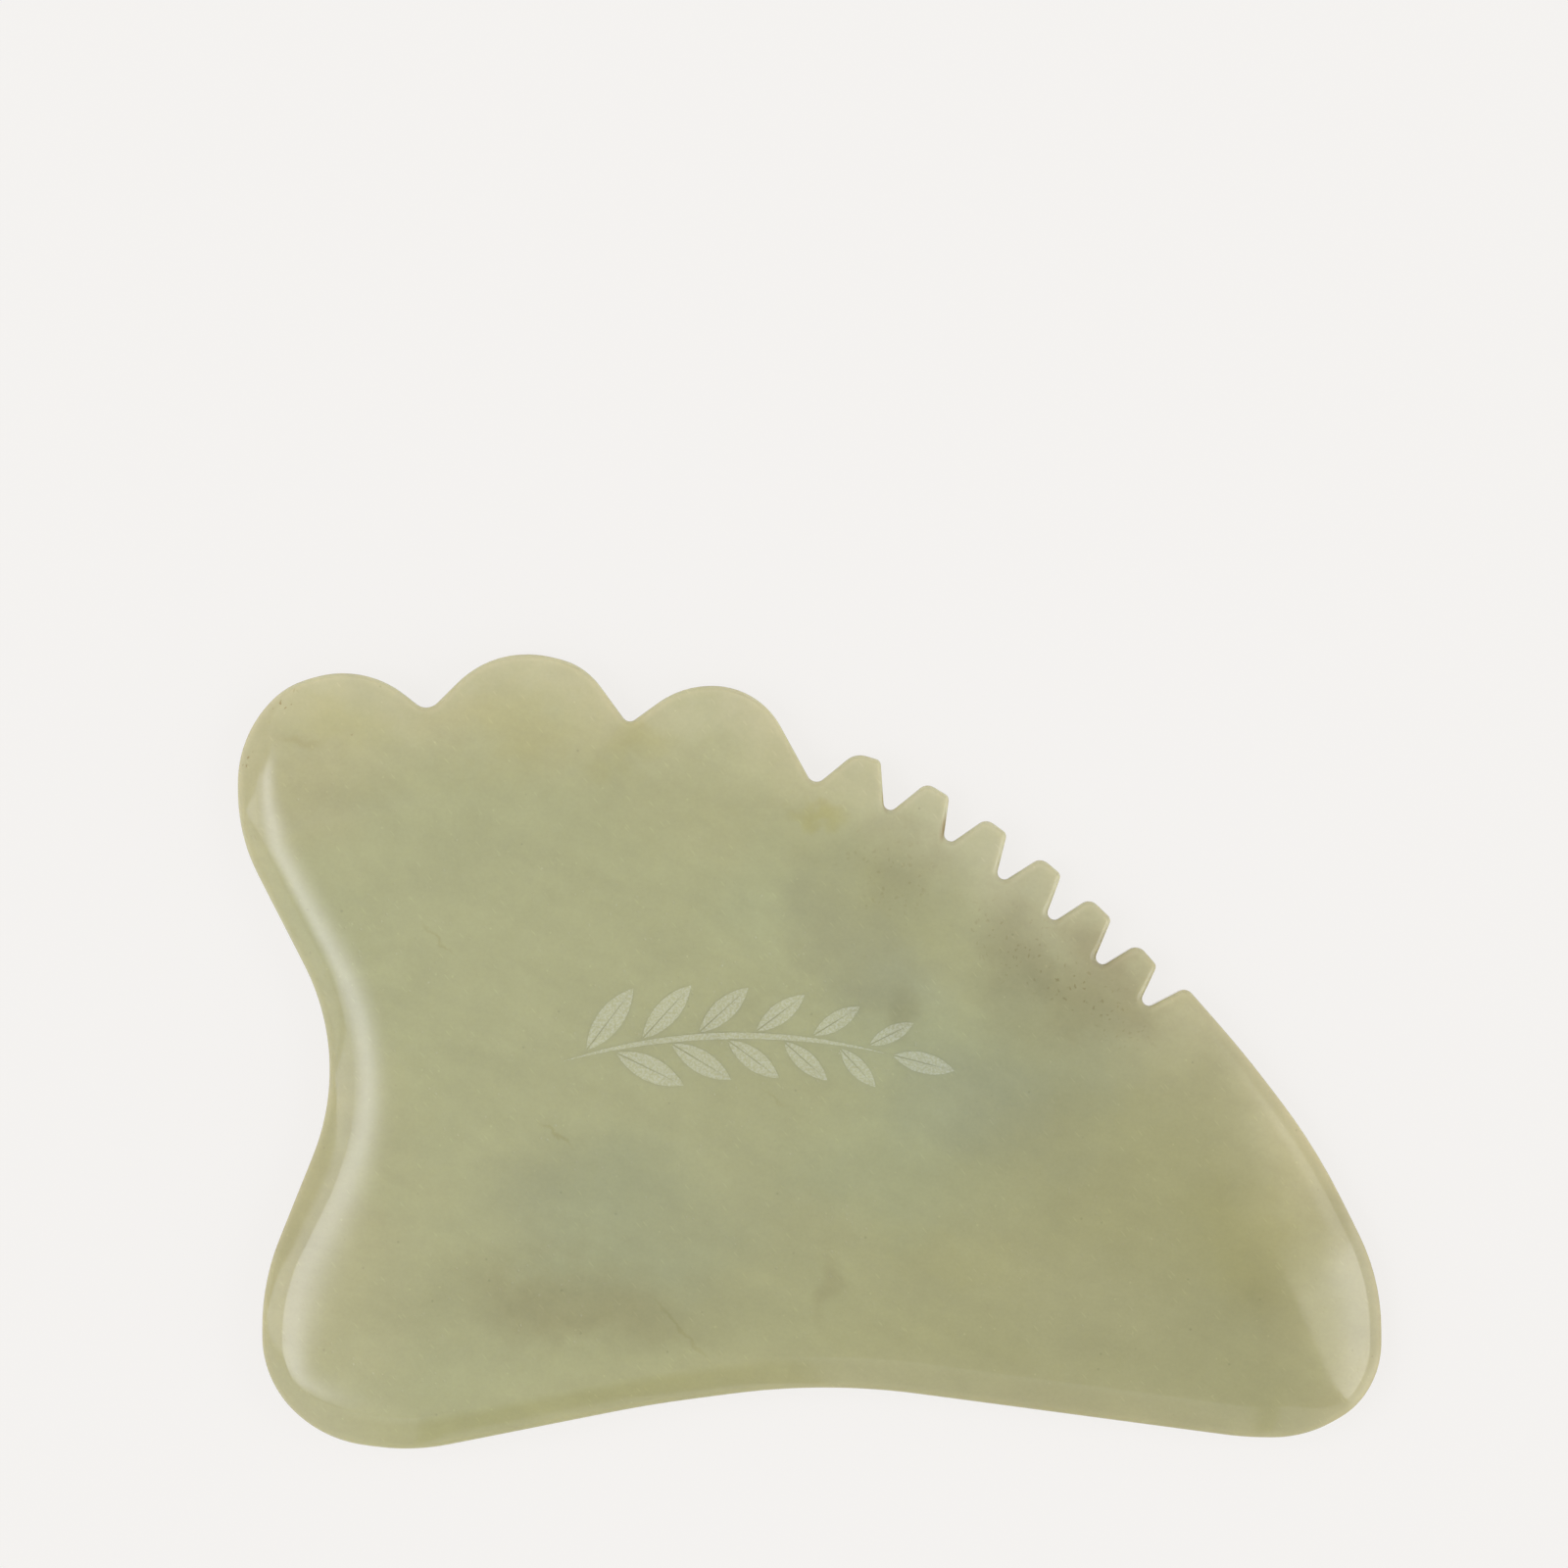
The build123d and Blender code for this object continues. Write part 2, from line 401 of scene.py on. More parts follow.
def polished_plate(material):
    """The whole stone as one closed mesh: two mirrored faces and the wall between them."""
    path = rounded_path(drop_points_in_line(section_loops("jade_plate")[0]))
    outline = stepped_path(path)
    heading = headings(outline)
    inward = np.column_stack([-np.sin(heading), np.cos(heading)])
    shape = rim_shape(outline, inward)
    tree, edge_tree = kd_tree(path), kd_tree(outline)
    rings = ring_points(outline, inward, shape, tree)
    inner = inner_points(outline, inward, shape, tree, edge_tree)
    gaps = gap_points(outline, inward, shape, tree, edge_tree, np.vstack([rings, inner])[:, :2])
    rows = np.vstack([rings, inner, gaps])
    points, depth, direction, index = rows[:, :2], rows[:, 2], rows[:, 3:5], rows[:, 5].astype(int)
    height, normals = face_of(points, depth, direction, [part[index] for part in shape])
    rim = len(outline)
    normals[:rim] = np.column_stack([-inward, np.zeros(rim)])
    front = triangles_of(points, rim)

    total = len(points)
    vertices = [(x, y, z) for (x, y), z in zip(points, height)]
    vertices += [(x, y, 2 * MIDDLE_Z - z) for (x, y), z in zip(points, height)]
    all_normals = [*normals, *(normals * (1, 1, -1))]
    faces = front + [tuple(reversed([v + total for v in face])) for face in front]
    rows_of_wall = [list(range(rim))]
    for row in range(1, WALL_ROWS):
        rows_of_wall.append(list(range(len(vertices), len(vertices) + rim)))
        share = row / WALL_ROWS
        for i in range(rim):
            z = height[i] + (2 * MIDDLE_Z - 2 * height[i]) * share
            vertices.append((*points[i], z))
            all_normals.append((*-inward[i], 0))
    rows_of_wall.append([i + total for i in range(rim)])
    for upper, lower in zip(rows_of_wall, rows_of_wall[1:]):
        for i in range(rim):
            j = (i + 1) % rim
            faces.append((upper[j], upper[i], lower[i], lower[j]))
    piece = make_object("polished_plate", vertices, faces, material, all_normals)
    set_depth(piece, [*depth, *depth, *np.zeros((WALL_ROWS - 1) * rim)])
    return piece


# ---- the printed sprig ----

PRINT_RISE = 0.02         # mm that the print stands above the stone
PRINT_SINK = 0.012        # mm that its sides reach into the stone
PRINT_STEP = 0.16         # mm between its points, along each blade
VEIN_GAP = 0.14           # bare stone along a leaf's middle, widest at its base
VEIN_REACH = 0.85         # share of the leaf's length that the gap reaches
RAGGED = 0.03             # how uneven the print's edges are
RAGGED_SIZE = 0.3
NARROWEST = 0.01          # half a leaf, beside its vein
FAR_FROM_WALLS = 30.0     # the depth that the print gives its material


def face_height(points):
    """The front face's height, away from the walls."""
    thin, _ = thinning(np.hypot(*(points - COMB_CENTRE).T))
    return FRONT_Z - FACE_DROP - thin + np.array([waves(x, y) for x, y in points])


def blade_sides(loop):
    """A long loop's axis: its points, the direction across it, and how far each side is."""
    spread = np.linalg.norm(loop[:, None] - loop[None], axis=2)
    a, b = sorted(np.unravel_index(spread.argmax(), spread.shape))
    if loop[a][0] > loop[b][0]:
        loop = np.roll(loop, -b, 0)
        a, b = 0, len(loop) - b + a
    start, length = loop[a], spread.max()
    along = (loop[b] - start) / length
    across = np.array([-along[1], along[0]])
    turn = np.linspace(0, math.pi, int(length / PRINT_STEP) + 2)
    steps = length * (1 - np.cos(turn)) / 2
    spine = start + along * steps[:, None]
    loop = np.vstack([loop, loop[:1]])
    sides = []
    for number, chain in enumerate((loop[a:b + 1], np.vstack([loop[b:-1], loop[:a + 1]])[::-1])):
        offset = chain - start
        ragged = [noise.noise(Vector((*(point / RAGGED_SIZE), number))) for point in spine]
        away = np.interp(steps, offset @ along, offset @ across)
        sides.append(away + RAGGED * np.array(ragged))
    return spine, across, sides


def strips_of(loops):
    """The stem as one strip, and each leaf as two halves beside its bare vein."""
    longest = max(loops, key=lambda loop: np.ptp(loop[:, 0]))
    strips = []
    for loop in loops:
        spine, across, (right, left) = blade_sides(loop)
        if loop is longest:
            strips.append((spine + across * right[:, None], spine + across * left[:, None]))
            continue
        gap = VEIN_GAP / 2 * np.clip(1 - np.linspace(0, 1 / VEIN_REACH, len(spine)), 0, 1)
        for side, away in ((-1, right), (1, left)):
            outer = side * np.maximum(side * away, gap + NARROWEST)
            pair = (spine + across * (side * gap)[:, None], spine + across * outer[:, None])
            strips.append(pair if side > 0 else pair[::-1])
    return strips


def frosted_sprig(material):
    """The print: thin strips laid on the stone, each one between two rows of points."""
    vertices, faces = [], []
    for right, left in strips_of(section_loops("printed_motif")):
        count, first = len(left), len(vertices)
        flat = np.vstack([left, right])
        level = face_height(flat)
        for rise in (PRINT_RISE, -PRINT_SINK):
            vertices += [(x, y, z + rise) for (x, y), z in zip(flat, level)]
        top_left, top_right, low_left, low_right = (first + count * k for k in range(4))
        for i, j in zip(range(count - 1), range(1, count)):
            faces.append((top_left + i, top_right + i, top_right + j, top_left + j))
            faces.append((low_left + i, low_left + j, low_right + j, low_right + i))
            faces.append((top_left + i, top_left + j, low_left + j, low_left + i))
            faces.append((top_right + i, low_right + i, low_right + j, top_right + j))
        end = count - 1
        faces.append((top_left, low_left, low_right, top_right))
        faces.append((top_left + end, top_right + end, low_right + end, low_left + end))
    piece = make_object("frosted_sprig", vertices, faces, material)
    piece.data.shade_flat()
    set_depth(piece, np.full(len(vertices), FAR_FROM_WALLS))
    return piece


# ---- materials ----

# Colours are linear. A range is a pair: where something starts to change, and where it ends.
FIRST_COLOUR = (0.336, 0.336, 0.173)      # the slab's upper left part
LAST_COLOUR = (0.291, 0.280, 0.131)       # its lower right part, more olive
ONWARD = (0.8, -0.6)                      # the way from the first colour to the last
COLOUR_TURN = (-10, 40)                   # mm that way
THIN_PAINTED_LIGHT = (1.44, 1.38, 1.57)            # times, painted light where the stone is thin, for the light that would come through it
THIN_RANGE = (64.0, 81.0)                 # mm from the comb's centre
THIN_UNEVEN = -6.0                        # mm that noise moves its border by
RIM_PAINTED_LIGHT = (1.03, 1.01, 1.02)             # times, painted light along the walls
RIM_REACH = 5.0                           # mm from the wall to where the rim's painted light ends
RIM_UNEVEN = 5.0                          # mm that noise moves its border by
UNEVEN_NOISE = (0.09, 3)                  # scale per mm, and detail
EDGE_PAINTED_LIGHT = (1.12, 1.11, 1.14)            # times, painted light on the walls and the last of the rim, against the shade that falls there
EDGE_REACH = 0.8                          # mm
LEFT_BAND_PAINTED_LIGHT = (1.06, 1.06, 1.05)       # times, painted light in the left side's band
LEFT_BAND_DEPTH = (1.0, 2.6)              # mm from the wall
LEFT_BAND_ENDS = ((-28, -22), (24, 30))   # mm of y
LEFT_BAND_SIDE = (-38, -32)               # mm of x
LOWER_BAND_PAINTED_SHADE = (0.90, 0.89, 0.79)     # times, painted shade in the lower edge's band
LOWER_BAND_DEPTH = (1.8, 2.9)             # mm from the wall
LOWER_BAND_ENDS = ((-42, -34), (30, 38))  # mm of x
LOWER_BAND_EASES = (-14, 6)               # mm of x
LOWER_BAND_REST = 0.35                    # share of the painted shade past there
LOWER_BAND_TOP = (-20, -10)               # mm of y

# Brightness: the noise per mm, its detail and roughness, and how much it changes in all.
STREAKS = (1.0, 5, 0.55, 0.15)            # in axes that are longer along the grain
PATCHES = (0.16, 3, 0.5, 0.18)
MOTTLE = (0.8, 4, 0.6, 0.10)
FINE_MOTTLE = (3.2, 2, 0.6, 0.08)
GRAIN_ANGLE = math.radians(-24)           # the stone's grain falls to the right
STREAK_LENGTHS = (8.0, 2.0, 3.0)
FLECK_ANGLE = math.radians(-50)
FLECK_LENGTHS = (1.6, 0.3, 1.0)           # flecks are specks in axes of these lengths

# Specks: cells to a mm, the speck's size in cells, and the share of the cells that have one.
LIGHT_SPECKS = (0.85, 0.11, 0.4)
FLECKS = (0.9, 0.24, 0.3)
DARK_SPECKS = (0.655, 0.1, 0.3)
GRAINS = (2.0, 0.34, 0.6)
PITS = (1.7, 0.22, 0.35)
PINHOLES = (3.0, 0.3, 0.3)
SPECK_CORE = 0.4          # share of a speck's size that is at full strength
LIGHT_CHANGE = 0.12
FLECK_CHANGE = 0.09
DARK_CHANGE = -0.15

# Noise that moves a pattern about: its scale per mm, and how far in mm.
CLOUD_SHAKE = (0.11, 11)
STAIN_SHAKE = (0.7, 1.6)
GRAIN_SHAKE = (0.06, 9)

# Soft clouds, each with what a full cloud multiplies the colour by, and then
# x, y, half length, half width (mm), angle (degrees) and strength. Most are in the stone;
# the dull group is painted shade and the light group is painted light.
CLOUD_FADE = (0.15, 1.15)                 # shares of the half lengths
CLOUD_DEPTH = 30                          # mm
CLOUDS = {
    (0.95, 1.0, 1.07): (                  # green
        (12.0, -1.0, 17.0, 9.0, -20, 0.9),
        (8.0, -10.0, 15.0, 7.0, -10, 0.7),
        (-16.0, -14.0, 12.0, 9.0, 0, 0.7),
        (-4.0, 12.0, 6.0, 8.0, 0, 0.4),
    ),
    (1.10, 1.02, 1.01): (                 # warm
        (-44.0, -14.0, 24.0, 13.0, 90, 0.8),
        (-8.0, 21.0, 14.0, 5.0, 0, 0.2),
        (-45.0, 22.0, 13.0, 10.0, 0, 0.6),
        (-20.0, 27.0, 22.0, 5.0, 0, 0.3),
    ),
    (0.84, 0.87, 1.0): (                  # painted shade, along the lower right side
        (48.5, -19.0, 15.0, 5.0, -80, 0.4),
    ),
    (1.12, 1.12, 1.18): (                 # painted light
        (40.5, -3.5, 15.0, 6.0, -52, 1.0),
        (-10.0, 29.0, 8.0, 3.5, 0, 0.6),
        (18.0, -20.0, 15.0, 7.0, -20, 0.35),
        (-41.0, -26.0, 6.0, 5.0, 0, 0.3),
    ),
    (0.78, 0.78, 0.84): (                 # grey
        (5.5, 8.0, 7.0, 5.0, 80, 0.65),
        (1.5, 13.0, 8.0, 4.0, 85, 0.5),
        (-25.0, -13.0, 7.0, 6.0, 0, 0.35),
        (19.0, 4.5, 9.0, 4.5, -32, 0.5),
        (17.0, -5.0, 12.0, 8.0, -30, 0.4),
        (-8.0, -13.0, 22.0, 10.0, -12, 0.25),
        (-10.0, 0.0, 17.0, 6.0, 0, 0.2),
    ),
    (0.80, 0.77, 0.73): (                 # brown grey
        (-19.0, -20.5, 14.0, 5.5, -8, 0.95),
        (-26.0, -22.0, 13.0, 6.0, -5, 0.4),
        (-16.0, -13.0, 13.0, 6.0, -20, 0.25),
        (25.0, 8.0, 6.0, 2.5, -38, 0.9),
        (29.0, 3.5, 4.0, 2.5, -45, 0.5),
        (1.5, -20.5, 4.0, 1.6, 85, 0.5),
        (38.5, -21.0, 9.0, 4.5, -70, 0.25),
        (8.0, 15.5, 6.0, 4.5, -35, 0.6),
        (17.8, 8.6, 6.5, 3.2, -38, 0.75),
        (24.5, 4.0, 7.0, 3.0, -38, 0.75),
        (7.0, 3.2, 1.8, 3.2, 0, 0.6),
    ),
    (0.95, 0.93, 0.76): (                 # olive
        (0.2, 20.7, 2.9, 1.0, 3, 1.0),
        (-14.5, 25.3, 4.5, 2.4, 5, 0.6),
        (-25.0, 27.5, 9.0, 4.0, 0, 0.5),
        (-40.0, 28.0, 6.0, 3.5, -10, 0.5),
        (37.0, -17.0, 9.0, 6.0, -60, 0.4),
        (12.0, -17.0, 10.0, 3.0, -25, 0.2),
    ),
    (1.0, 1.01, 1.09): (                  # pale
        (18.0, 13.0, 22.0, 8.0, -40, 1.0),
        (14.0, -3.0, 12.0, 7.0, -20, 0.6),
        (33.0, -1.0, 14.0, 7.0, -50, 0.4),
        (28.0, -24.0, 16.0, 8.0, -10, 0.5),
        (26.0, -1.0, 6.0, 5.0, 0, 1.0),
        (9.0, 6.0, 5.0, 3.5, 0, 0.7),
    ),
}
STAIN = (0.86, 0.83, 0.70)                # short thin streaks
STAINS = (
    (-43.2, 26.3, 2.4, 0.45, -10, 0.45),
    (-11.0, -23.5, 4.6, 0.25, -49, 0.6),
    (-21.5, -7.0, 2.2, 0.25, -35, 0.7),
    (-31.5, 9.5, 2.3, 0.22, -45, 0.6),
    (-3.0, -4.0, 1.6, 0.18, -30, 0.4),
)
PEPPER = (0.68, 0.58, 0.44)               # brown grains in small groups
PEPPERED = (
    (-44.7, 29.6, 2.2, 1.2, 60, 1.0),
    (-47.9, 25.0, 2.4, 0.7, 80, 1.0),
    (-43.6, 28.2, 1.4, 0.6, -30, 1.0),
    (-47.2, 18.8, 1.2, 0.6, -60, 0.8),
    (-38.8, 27.0, 1.4, 0.8, -10, 0.8),
    (18.0, 8.6, 8.0, 4.0, -38, 0.5),
    (24.5, 4.0, 7.0, 3.0, -38, 0.5),
    (7.0, 15.0, 7.0, 5.0, -35, 0.3),
)
WALL_STAIN = (0.62, 0.52, 0.40)           # dirt left by the saw on two walls of the comb
WALL_STAINED = (
    (6.45, 21.4, 1.3, 0.35, -87, 1.0),
    (11.4, 19.0, 1.4, 0.35, 79, 1.0),
)


class Graph:
    """A node tree, with short calls that add linked nodes to it."""

    def __init__(self, tree):
        self.tree = tree

    def feed(self, socket, value):
        """Links a socket into another one, or sets a plain value."""
        if isinstance(value, bpy.types.NodeSocket):
            self.tree.links.new(value, socket)
        elif value is not None:
            socket.default_value = value

    def node(self, kind, values, output=0, **settings):
        made = self.tree.nodes.new("ShaderNode" + kind)
        for key, value in settings.items():
            setattr(made, key, value)
        for key, value in values.items():
            self.feed(made.inputs[key], value)
        return made.outputs[output]

    def set(self, kind, **values):
        """Feeds the sockets of the tree's main node of this kind, with _ for a space."""
        main = next(node for node in self.tree.nodes if node.bl_idname == "ShaderNode" + kind)
        for key, value in values.items():
            self.feed(main.inputs[key.replace("_", " ")], value)

    def math(self, operation, a, b=None, c=None):
        return self.node("Math", {0: a, 1: b, 2: c}, operation=operation)

    def product(self, *values):
        total = values[0]
        for value in values[1:]:
            total = self.math("MULTIPLY", total, value)
        return total

    def scaled(self, vector, factor):
        values = {0: vector, "Scale": factor}
        return self.node("VectorMath", values, operation="SCALE")

    def mix(self, share, a, b, blend="MIX"):
        values = {0: share, 6: a, 7: b}
        return self.node("Mix", values, 2, data_type="RGBA", blend_type=blend)

    def ramp(self, value, low, high, to_low=0.0, to_high=1.0):
        values = {0: value, 1: low, 2: high, 3: to_low, 4: to_high}
        return self.node("MapRange", values, interpolation_type="SMOOTHSTEP")

    def noise(self, vector, scale, detail=3.0, roughness=0.5, output=0):
        values = {"Vector": vector, "Scale": scale, "Detail": detail, "Roughness": roughness}
        return self.node("TexNoise", values, output)

    def turned(self, vector, angle, factors=(1, 1, 1), centre=(0, 0, 0)):
        """The vector in axes turned by this angle, about this centre, over these lengths."""
        values = {"Vector": vector, "Location": centre, "Rotation": (0, 0, angle)}
        values["Scale"] = factors
        return self.node("Mapping", values, vector_type="TEXTURE")

    def attribute(self, name):
        return self.node("Attribute", {}, "Fac", attribute_name=name)

    def place(self):
        """The place on the object in mm."""
        return self.scaled(self.node("TexCoord", {}, "Object"), 1 / MM)


def rgba(colour):
    return (*colour, 1)


def new_material(name):
    material = bpy.data.materials.new(name)
    material.use_nodes = True
    return material, Graph(material.node_tree)


def cloud_share(graph, place, clouds):
    """How much of these clouds is at a place, from 0 to 1."""
    total = 0.0
    for x, y, length, width, angle, strength in clouds:
        local = graph.turned(place, math.radians(angle), (length, width, CLOUD_DEPTH), (x, y, 0))
        away = graph.node("VectorMath", {0: local}, 1, operation="LENGTH")
        total = graph.math("ADD", graph.ramp(away, *CLOUD_FADE, strength, 0.0), total)
    return graph.math("MINIMUM", total, 1.0)


def shaken(graph, place, scale, reach):
    """The place moved about by noise of this scale, in the plane of the slab."""
    noise_colour = graph.noise(place, scale, 4, 0.6, output="Color")
    values = {0: noise_colour, 1: (0.5, 0.5, 0.5)}
    centred = graph.node("VectorMath", values, operation="SUBTRACT")
    values = {0: centred, 1: (reach, reach, 0), 2: place}
    return graph.node("VectorMath", values, operation="MULTIPLY_ADD")


def varied(graph, place, scale, detail, roughness, change):
    """A brightness of about 1 that noise changes."""
    value = graph.noise(place, scale, detail, roughness)
    return graph.math("MULTIPLY_ADD", value, change, 1 - change / 2)


def specks(graph, place, scale, size, share):
    """Small round specks, one in the middle of some cells."""
    values = {"Vector": place, "Scale": scale}
    away = graph.node("TexVoronoi", values, "Distance")
    luck = graph.node("SeparateColor", {0: graph.node("TexVoronoi", values, "Color")})
    chosen = graph.math("LESS_THAN", luck, share)
    return graph.product(graph.ramp(away, size * SPECK_CORE, size, 1, 0), chosen)


def painted_band_masks(graph, place, from_wall):
    """How much a place gets of the left band's painted light, and of the lower edge band's painted
    shade.
    """
    x, y = graph.node("SeparateXYZ", {0: place}).node.outputs[:2]
    left = graph.product(
        graph.ramp(from_wall, *LEFT_BAND_DEPTH, 1, 0), graph.ramp(x, *LEFT_BAND_SIDE, 1, 0),
        graph.ramp(y, *LEFT_BAND_ENDS[0]), graph.ramp(y, *LEFT_BAND_ENDS[1], 1, 0),
    )
    lower = graph.product(
        graph.ramp(from_wall, *LOWER_BAND_DEPTH, 1, 0), graph.ramp(y, *LOWER_BAND_TOP, 1, 0),
        graph.ramp(x, *LOWER_BAND_ENDS[0]), graph.ramp(x, *LOWER_BAND_EASES, 1, LOWER_BAND_REST),
        graph.ramp(x, *LOWER_BAND_ENDS[1], 1, 0),
    )
    return left, lower


def grain_brightness(graph, place):
    """Long streaks down to the right, broad soft patches, finer mottles and specks."""
    bent = shaken(graph, place, *GRAIN_SHAKE)
    along = graph.turned(bent, GRAIN_ANGLE, STREAK_LENGTHS)
    bright = graph.product(
        varied(graph, along, *STREAKS), varied(graph, place, *PATCHES),
        varied(graph, place, *MOTTLE), varied(graph, place, *FINE_MOTTLE),
    )
    for where, kind, change in (
        (place, LIGHT_SPECKS, LIGHT_CHANGE),
        (graph.turned(place, FLECK_ANGLE, FLECK_LENGTHS), FLECKS, FLECK_CHANGE),
        (place, DARK_SPECKS, DARK_CHANGE),
    ):
        bright = graph.math("MULTIPLY_ADD", specks(graph, where, *kind), change, bright)
    return bright


def jade_colour(graph):
    """The stone's colour: clouds, grain, mottle and specks, with painted light where it is thin,
    along the walls and in the left band, and painted shade in the lower band.
    """
    place = graph.place()
    moved = shaken(graph, place, *CLOUD_SHAKE)
    uneven = graph.math("SUBTRACT", graph.noise(place, *UNEVEN_NOISE), 0.5)
    from_wall = graph.attribute("depth")
    depth = graph.math("MULTIPLY_ADD", uneven, RIM_UNEVEN, from_wall)
    painted_left_light, painted_lower_shade = painted_band_masks(graph, place, from_wall)
    axes = graph.node("SeparateXYZ", {0: moved}).node.outputs
    onward = graph.math("MULTIPLY", axes[1], ONWARD[1])
    onward = graph.math("MULTIPLY_ADD", axes[0], ONWARD[0], onward)
    reach = graph.node("VectorMath", {0: place, 1: (*COMB_CENTRE, 0)}, 1, operation="DISTANCE")
    reach = graph.math("MULTIPLY_ADD", uneven, THIN_UNEVEN, reach)
    stained = shaken(graph, place, *STAIN_SHAKE)
    grains = specks(graph, stained, *GRAINS)

    colour = graph.mix(graph.ramp(onward, *COLOUR_TURN), rgba(FIRST_COLOUR), rgba(LAST_COLOUR))
    tints = [(tint, cloud_share(graph, moved, clouds)) for tint, clouds in CLOUDS.items()]
    # The thin, rim, band and edge tints are painted light and painted shade; the stains and pepper
    # are the stone's own.
    tints += [
        (THIN_PAINTED_LIGHT, graph.ramp(reach, *THIN_RANGE)),
        (RIM_PAINTED_LIGHT, graph.ramp(depth, 0, RIM_REACH, 1, 0)),
        (LEFT_BAND_PAINTED_LIGHT, painted_left_light),
        (LOWER_BAND_PAINTED_SHADE, painted_lower_shade),
        (EDGE_PAINTED_LIGHT, graph.ramp(from_wall, 0, EDGE_REACH, 1, 0)),
        (STAIN, cloud_share(graph, stained, STAINS)),
        (PEPPER, graph.product(cloud_share(graph, place, PEPPERED), grains)),
        (WALL_STAIN, cloud_share(graph, place, WALL_STAINED)),
    ]
    for tint, share in tints:
        colour = graph.mix(share, colour, rgba(tint), "MULTIPLY")
    bright = grain_brightness(graph, place)
    lift = graph.node("CombineColor", {0: bright, 1: bright, 2: bright})
    return graph.mix(1.0, colour, lift, "MULTIPLY")


GRIT = (4.0, 3, 0.6)      # noise: scale per mm, detail and roughness
GRIT_HEIGHT = 0.0012      # mm
PIT_DEPTH = 0.006
WEAR = (0.35, 4, 0.6)     # noise
WEAR_RANGE = (0.3, 0.7)
POLISH = (0.03, 0.07)     # roughness, from the best polished places to the most worn


def jade_bump(graph):
    """The polished face's texture: faint lapping marks and scattered tiny pits."""
    place = graph.place()
    grit = graph.math("MULTIPLY", graph.noise(place, *GRIT), GRIT_HEIGHT)
    height = graph.math("MULTIPLY_ADD", specks(graph, place, *PITS), -PIT_DEPTH, grit)
    values = {"Height": graph.math("MULTIPLY", height, MM), "Distance": 1.0}
    return graph.node("Bump", values)


def jade_material():
    material, graph = new_material("polished_jade")
    wear = graph.noise(graph.place(), *WEAR)
    graph.set("BsdfPrincipled", Base_Color=jade_colour(graph), Normal=jade_bump(graph), IOR=1.56)
    graph.set("BsdfPrincipled", Roughness=graph.ramp(wear, *WEAR_RANGE, *POLISH))
    graph.set("BsdfPrincipled", Subsurface_Weight=0.35, Subsurface_Scale=0.0015)
    graph.set("BsdfPrincipled", Subsurface_Radius=(1.0, 0.9, 0.55))
    return material


FROST_COLOUR = (0.80, 0.84, 0.90)
INK_NOISE = (5.0, 3, 0.7)
INK_NOISE_RANGE = (0.4, 0.6)
PATCH_NOISE = (0.5, 3)
INK_GRAIN = 0.12          # how much of its colour each adds to the stone's, or takes away
INK_PATCHES = 0.05
INK_THINNED = -0.03
INK_PINHOLES = 0.1
INK_RELIEF = 0.004        # mm


def frost_material():
    """Thin white ink, so grainy and sheer that the stone's own colour shows through."""
    material, graph = new_material("frosted_ink")
    place = graph.place()
    grain = graph.noise(place, *INK_NOISE)
    patchy = graph.noise(place, *PATCH_NOISE)
    patchy = graph.math("MULTIPLY_ADD", patchy, INK_PATCHES, INK_THINNED)
    share = graph.math("MULTIPLY_ADD", graph.ramp(grain, *INK_NOISE_RANGE), INK_GRAIN, patchy)
    pinholes = graph.product(specks(graph, place, *PINHOLES), INK_PINHOLES)
    share = graph.math("MAXIMUM", graph.math("SUBTRACT", share, pinholes), 0.0)
    colour = graph.mix(share, jade_colour(graph), rgba(FROST_COLOUR))
    graph.set("BsdfPrincipled", Base_Color=colour, Roughness=0.48, IOR=1.5)
    bump = {"Height": graph.math("MULTIPLY", grain, INK_RELIEF * MM), "Distance": 1.0}
    graph.set("BsdfPrincipled", Normal=graph.node("Bump", bump))
    return material


jade = jade_material()
plate = polished_plate(jade)
sprig = frosted_sprig(frost_material())
for piece, node, slot in ((plate, "jade_plate", "jade"), (sprig, "printed_motif", "print")):
    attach(piece, "root")
    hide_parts(node)

# ---- floor, light and camera ----

FLOOR_HALF = 1500.0       # mm
FLOOR_GAP = 0.01          # mm under the plate
FLOOR_COLOUR = (0.070, 0.069, 0.067)
FLOOR_GLOW = (0.820, 0.804, 0.783)


def pale_floor():
    material, graph = new_material("pale_floor")
    graph.set("BsdfPrincipled", Base_Color=rgba(FLOOR_COLOUR), Roughness=1.0)
    graph.set("BsdfPrincipled", Specular_IOR_Level=0.0, Emission_Color=rgba(FLOOR_GLOW))
    graph.set("BsdfPrincipled", Emission_Strength=1.0)
    corners = [(-1, -1), (1, -1), (1, 1), (-1, 1)]
    vertices = [(x * FLOOR_HALF, y * FLOOR_HALF, BACK_Z - FLOOR_GAP) for x, y in corners]
    return make_object("floor", vertices, [(0, 1, 2, 3)], material)


pale_floor()

# The studio is a white tent with a soft box on each side and a low glow in front. A place on
# its ceiling is given by how far a ray leans right (u) and towards the lobes (v) for each unit
# that it climbs. Each range is where a light starts to change and where it ends.
TENT = 0.57
BOX_COLOUR = (0.95, 0.95, 1.10)           # of the left box and the glow
LEAST_CLIMB = 0.05

LEFT_BOX = 4.2
LEFT_LEAN = 0.7                           # how its inner side leans, from here on
LEFT_LEAN_FROM = 0.1
LEFT_INNER = (-0.33, 0.09)
LEFT_OUTER = (-0.95, -0.4)
LEFT_OUTER_SHARE = 0.35                   # of its brightness, further down its side
LEFT_NEAR = (-0.45, -0.2)
LEFT_FAR = (0.36, 0.58)

